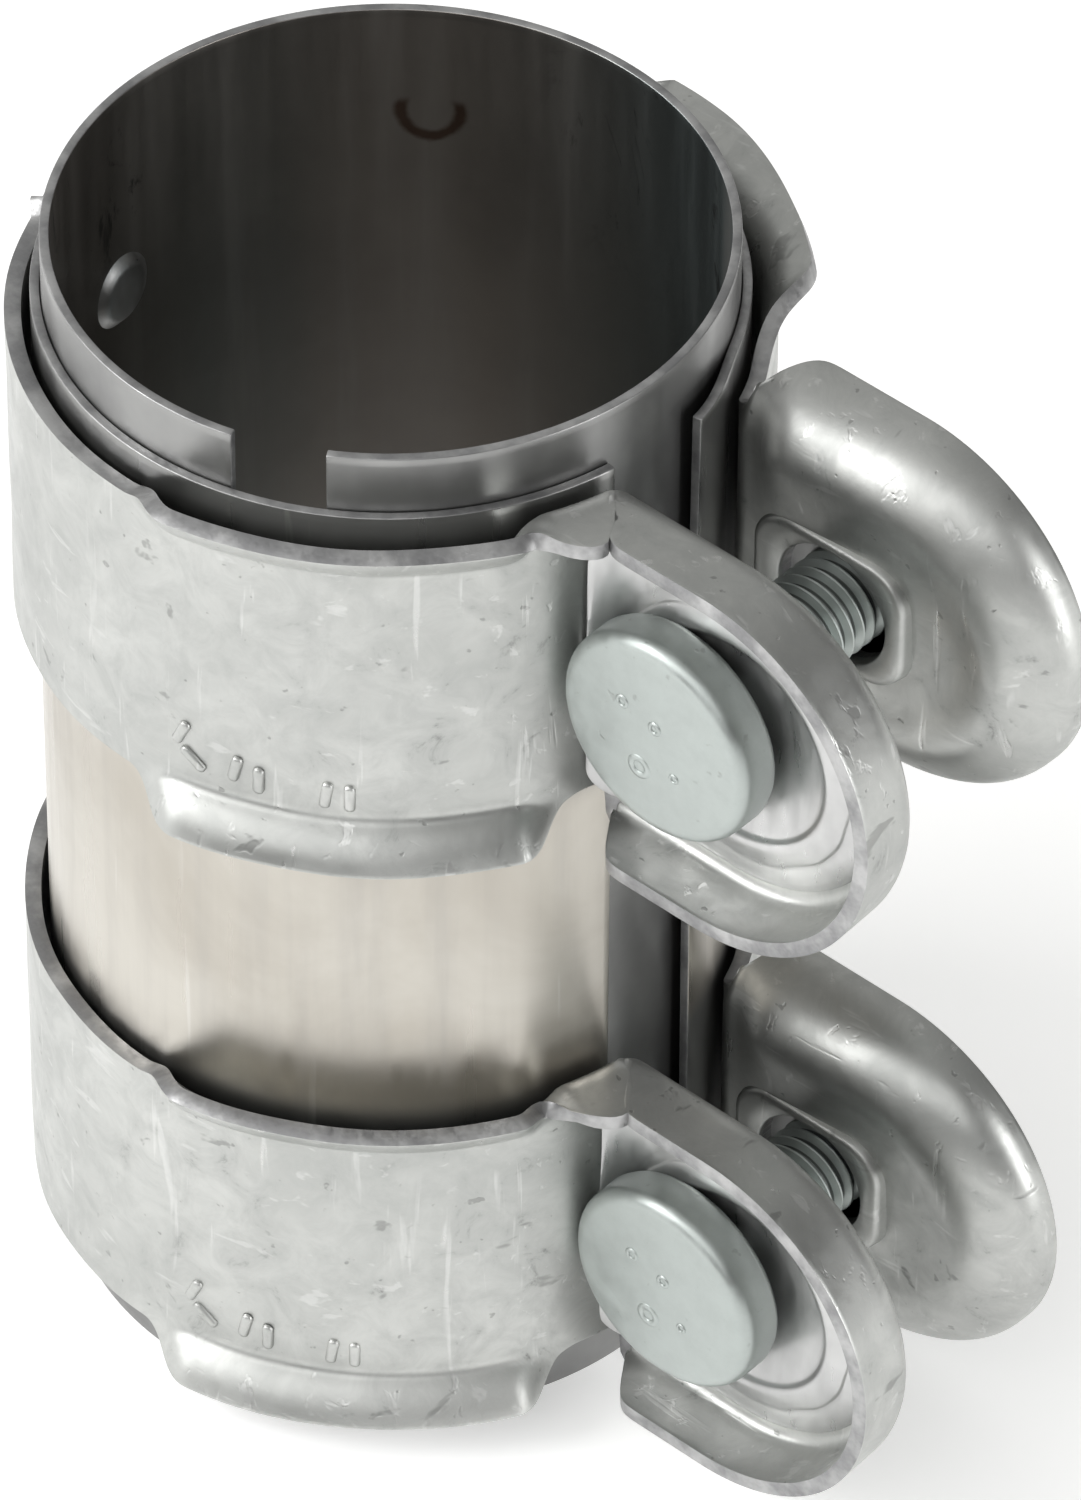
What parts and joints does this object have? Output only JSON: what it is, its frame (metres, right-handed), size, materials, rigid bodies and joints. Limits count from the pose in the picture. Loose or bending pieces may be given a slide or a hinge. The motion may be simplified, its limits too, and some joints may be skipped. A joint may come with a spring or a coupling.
{
  "type": "pipe repair clamp",
  "caption": "Slit double-shell sleeve that joins two pipe ends, squeezed by bolted bands with deep-drawn cup-shaped ears.",
  "frame": {"origin": "on the sleeve's axis, at its lower end", "axes": "+Z along the sleeve, +X towards the bolts, the bolt heads face -Y"},
  "size_m": [0.1081, 0.0814, 0.125],
  "materials": {
    "inner_shell_steel": "satin, dark inside",
    "outer_shell_steel": "satin",
    "band_steel": "matte aluminised",
    "plate_steel": "satin",
    "zinc_bolt": "zinc plated",
    "zinc_nut": "zinc plated"
  },
  "bodies": {
    "root": {"inner_shell": "inner_shell_steel", "outer_shell": "outer_shell_steel", "upper_band": "band_steel", "upper_bolt": "zinc_bolt", "upper_head_plate": "plate_steel", "upper_nut_plate": "plate_steel", "lower_band": "band_steel", "lower_bolt": "zinc_bolt", "lower_head_plate": "plate_steel", "lower_nut_plate": "plate_steel"},
    "upper_washer": {"upper_washer": "zinc_nut"},
    "upper_nut": {"upper_nut": "zinc_nut"},
    "lower_washer": {"lower_washer": "zinc_nut"},
    "lower_nut": {"lower_nut": "zinc_nut"}
  },
  "joints": [
    {"name": "upper_nut_travel", "type": "slide", "parent": "root", "child": "upper_washer", "axis": [0, 1, 0], "range_m": [0, 0.00564]},
    {"name": "upper_nut_turn", "type": "hinge", "parent": "upper_washer", "child": "upper_nut", "pos_m": [0.046, 0.0202, 0.0987], "axis": [0, 1, 0], "range_deg": [0, 1350]},
    {"name": "lower_nut_travel", "type": "slide", "parent": "root", "child": "lower_washer", "axis": [0, 1, 0], "range_m": [0, 0.00901]},
    {"name": "lower_nut_turn", "type": "hinge", "parent": "lower_washer", "child": "lower_nut", "pos_m": [0.046, 0.0194, 0.0244], "axis": [0, 1, 0], "range_deg": [0, 2160]}
  ],
  "couplings": [
    {"joint": "upper_nut_travel", "follows": "upper_nut_turn", "m_per_rad": 0.00023873},
    {"joint": "lower_nut_travel", "follows": "lower_nut_turn", "m_per_rad": 0.00023873}
  ]
}
